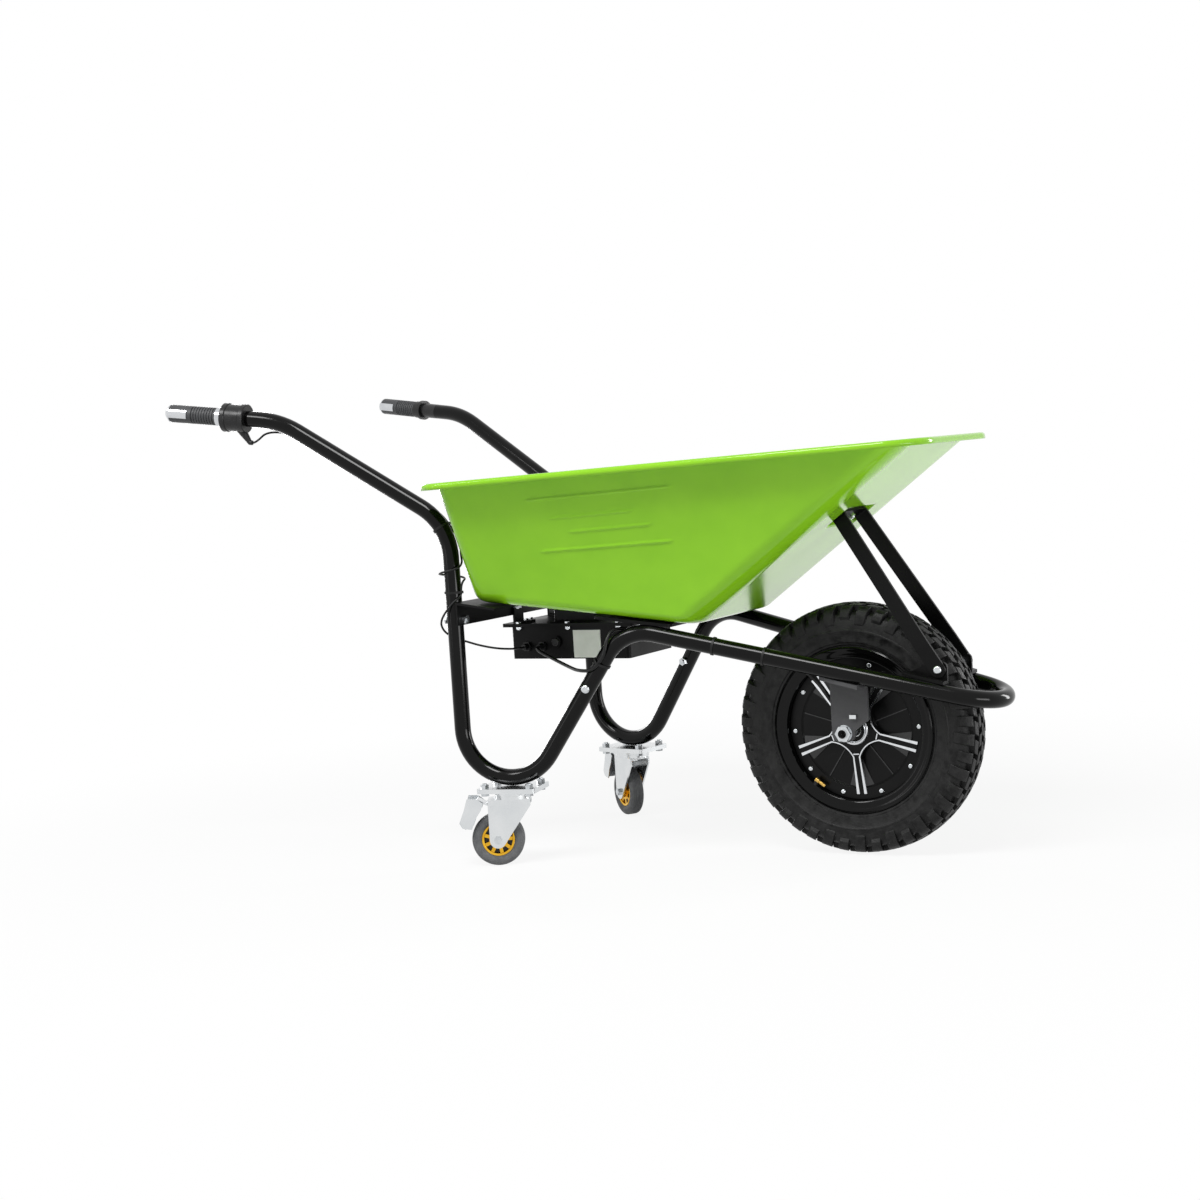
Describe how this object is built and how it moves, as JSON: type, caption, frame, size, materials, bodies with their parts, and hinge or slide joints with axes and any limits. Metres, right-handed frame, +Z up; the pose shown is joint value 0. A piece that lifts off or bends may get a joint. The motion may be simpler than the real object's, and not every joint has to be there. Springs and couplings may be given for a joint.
{
  "type": "electric wheelbarrow",
  "caption": "Electric wheelbarrow: pressed tray on a V-shaped tube frame, hub-motor front wheel, battery box under the tray, twist throttle and braked swivel casters.",
  "frame": {"origin": "on the floor below the middle of the barrow's length and width", "axes": "+X forward to the nose of the loop, +Y to the user's left, +Z up"},
  "size_m": [1.416, 0.696, 0.8225],
  "materials": {
    "frame_black": "gloss black paint",
    "steel_black": "satin black paint",
    "plate_grey": "matte dark grey paint",
    "tray_green": "satin lime green powder coat",
    "zinc": "bright zinc plate",
    "bolt_steel": "zinc-plated fasteners",
    "tyre_rubber": "matte black rubber",
    "hub_black": "satin black cast housing",
    "stator_iron": "laminated iron",
    "magnet": "nickel-plated magnets",
    "brass": "plain brass",
    "gold_rim": "yellow-passivated steel",
    "caster_rubber": "grey elastic rubber",
    "grip_rubber": "dark grey rubber",
    "black_plastic": "moulded black plastic",
    "silver_cap": "polished silver cap",
    "cable_black": "black cable sheath",
    "tie_plastic": "black nylon",
    "pack_blue": "shrink-wrapped cells",
    "controller_alloy": "black anodised",
    "plate_pale": "bare pale plate",
    "spring_steel": "spring wire"
  },
  "bodies": {
    "frame": {"rear_frame_tube_right": "frame_black", "rear_frame_tube_left": "frame_black", "front_loop_tube": "frame_black", "frame_joint_bolts": "bolt_steel", "rear_crossbar": "steel_black", "crossbar_bolts": "bolt_steel", "tray_support_plate": "steel_black", "tray": "tray_green", "tray_bolts": "bolt_steel", "front_brace": "steel_black", "brace_tabs": "steel_black", "brace_bolts": "bolt_steel", "axle_plate_right": "plate_grey", "axle_plate_left": "plate_grey", "axle": "zinc", "axle_spacers": "zinc", "axle_nuts": "bolt_steel", "motor_stator": "stator_iron", "battery_box": "steel_black", "battery_lid": "steel_black", "lid_screws": "bolt_steel", "battery_pack": "pack_blue", "controller": "controller_alloy", "cable_glands": "black_plastic", "blank_plate": "plate_pale", "box_hangers": "steel_black", "throttle_housing": "black_plastic", "throttle_spring": "spring_steel", "left_grip": "grip_rubber", "left_grip_cap": "silver_cap", "left_grip_collar": "black_plastic", "throttle_cable": "cable_black", "motor_cable": "cable_black", "cable_ties": "tie_plastic", "leg_plates": "zinc", "caster_plates": "zinc", "caster_bolts": "bolt_steel", "caster_kingpins": "zinc"},
    "drive_wheel": {"hub_shell": "hub_black", "hub_cover_right": "hub_black", "hub_cover_left": "hub_black", "cover_screws": "bolt_steel", "rotor_magnets": "magnet", "wheel_bearings": "zinc", "tyre": "tyre_rubber", "valve_stem": "brass"},
    "throttle": {"throttle_grip": "grip_rubber", "throttle_cap": "silver_cap", "throttle_ring": "silver_cap"},
    "button": {"power_button": "black_plastic"},
    "caster_right": {"caster_fork_right": "zinc", "caster_axle_right": "bolt_steel"},
    "caster_wheel_right": {"caster_rim_right": "gold_rim", "caster_tyre_right": "caster_rubber"},
    "brake_right": {"brake_pedal_right": "zinc"},
    "caster_left": {"caster_fork_left": "zinc", "caster_axle_left": "bolt_steel"},
    "caster_wheel_left": {"caster_rim_left": "gold_rim", "caster_tyre_left": "caster_rubber"},
    "brake_left": {"brake_pedal_left": "zinc"}
  },
  "joints": [
    {"name": "wheel_spin", "type": "hinge", "parent": "frame", "child": "drive_wheel", "pos_m": [0.44449, 0, 0.21], "axis": [0, 1, 0], "continuous": true},
    {"name": "throttle_twist", "type": "hinge", "parent": "frame", "child": "throttle", "pos_m": [-0.70597, -0.33263, 0.808], "axis": [0.9737, 0.1893, -0.1268], "range_deg": [0, 70], "stiffness_Nm_per_rad": 0.25},
    {"name": "power_press", "type": "slide", "parent": "frame", "child": "button", "axis": [0, 1, 0], "range_m": [0, 0.0025], "stiffness_N_per_m": 400},
    {"name": "caster_swivel_right", "type": "hinge", "parent": "frame", "child": "caster_right", "pos_m": [-0.11013, -0.21681, 0.12], "axis": [0, 0, 1], "continuous": true},
    {"name": "caster_roll_right", "type": "hinge", "parent": "caster_right", "child": "caster_wheel_right", "pos_m": [-0.13661, -0.23089, 0.045], "axis": [-0.4695, 0.8829, 0], "continuous": true},
    {"name": "caster_brake_right", "type": "hinge", "parent": "caster_right", "child": "brake_right", "pos_m": [-0.1428, -0.23418, 0.102], "axis": [0.4695, -0.8829, 0], "range_deg": [0, 10]},
    {"name": "caster_swivel_left", "type": "hinge", "parent": "frame", "child": "caster_left", "pos_m": [-0.11013, 0.21681, 0.12], "axis": [0, 0, 1], "continuous": true},
    {"name": "caster_roll_left", "type": "hinge", "parent": "caster_left", "child": "caster_wheel_left", "pos_m": [-0.13409, 0.23486, 0.045], "axis": [0.6018, 0.7986, 0], "continuous": true},
    {"name": "caster_brake_left", "type": "hinge", "parent": "caster_left", "child": "brake_left", "pos_m": [-0.13968, 0.23907, 0.102], "axis": [-0.6018, -0.7986, 0], "range_deg": [0, 10]}
  ]
}
